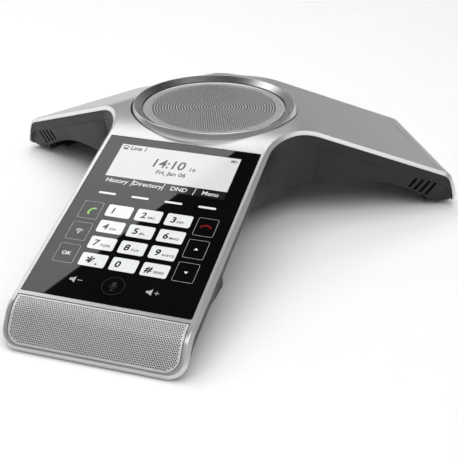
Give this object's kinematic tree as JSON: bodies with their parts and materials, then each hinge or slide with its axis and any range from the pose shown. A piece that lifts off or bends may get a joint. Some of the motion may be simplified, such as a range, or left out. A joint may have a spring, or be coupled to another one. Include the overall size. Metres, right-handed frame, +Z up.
{
  "type": "conference phone",
  "caption": "Three-armed desk conference telephone with a round loudspeaker on the hub and a flush glass keypad on the front arm.",
  "frame": {"origin": "middle of the footprint box on the table under the feet", "axes": "+Z up, -Y towards the user along the keypad arm, +X to the user's right"},
  "size_m": [0.2962, 0.3046, 0.064],
  "materials": {
    "silver_paint": "satin silver lacquer over moulded plastic",
    "base_plastic": "fine textured charcoal plastic",
    "ring_metal": "satin turned ring",
    "perforated_metal": "perforated sheet, satin grey",
    "panel_glass": "black gloss touch panel",
    "screen": "pale display glass",
    "light_plastic": "translucent white diffuser",
    "board": "green printed circuit board",
    "rubber": "soft black rubber",
    "foam": "black closed-cell foam",
    "steel": "plated steel",
    "speaker_frame": "black pressed steel",
    "speaker_cone_paper": "black coated paper cone with its rubber roll",
    "cable": "black cable sheath",
    "copper_flex": "orange flexible circuit",
    "battery_wrap": "blue shrink wrap",
    "gold": "gold-plated contacts on a moulded block",
    "label": "blank grey label"
  },
  "bodies": {
    "phone": {"top_shell": "silver_paint", "base_shell": "base_plastic", "right_foot": "rubber", "left_foot": "rubber", "front_foot": "rubber", "rating_plate": "label", "speaker_ring": "ring_metal", "speaker_grille": "perforated_metal", "speaker_gasket": "foam", "speaker_basket": "speaker_frame", "speaker_magnet": "steel", "glass_panel": "panel_glass", "lcd_module": "screen", "lcd_backlight": "light_plastic", "key_light_guide": "light_plastic", "touch_board": "board", "front_grille": "perforated_metal", "front_mic_boot": "rubber", "front_mic": "steel", "right_mic_boot": "rubber", "right_mic": "steel", "left_mic_boot": "rubber", "left_mic": "steel", "main_board": "board", "radio_shield": "steel", "display_ribbon": "copper_flex", "right_antenna": "board", "left_antenna": "board", "right_mic_cable": "cable", "left_mic_cable": "cable", "front_mic_cable": "cable", "speaker_lead": "cable", "usb_socket": "steel", "usb_board": "board", "battery_pack": "battery_wrap", "battery_contacts": "gold", "case_screw_1": "steel", "case_screw_2": "steel", "case_screw_3": "steel", "case_screw_4": "steel", "case_screw_5": "steel", "case_screw_6": "steel", "speaker_screw_1": "steel", "board_screw_1": "steel", "speaker_screw_2": "steel", "board_screw_2": "steel", "speaker_screw_3": "steel", "board_screw_3": "steel", "speaker_screw_4": "steel", "board_screw_4": "steel"},
    "cone": {"speaker_cone": "speaker_cone_paper"},
    "door": {"battery_door": "base_plastic"}
  },
  "joints": [
    {"name": "cone_travel", "type": "slide", "parent": "phone", "child": "cone", "axis": [0, 0, 1], "range_m": [-0.0012, 0.0012], "stiffness_N_per_m": 1800},
    {"name": "battery_door_hinge", "type": "hinge", "parent": "phone", "child": "door", "pos_m": [0, -0.08447, 0.0029], "axis": [-1, 0, 0], "range_deg": [0, 100]}
  ]
}
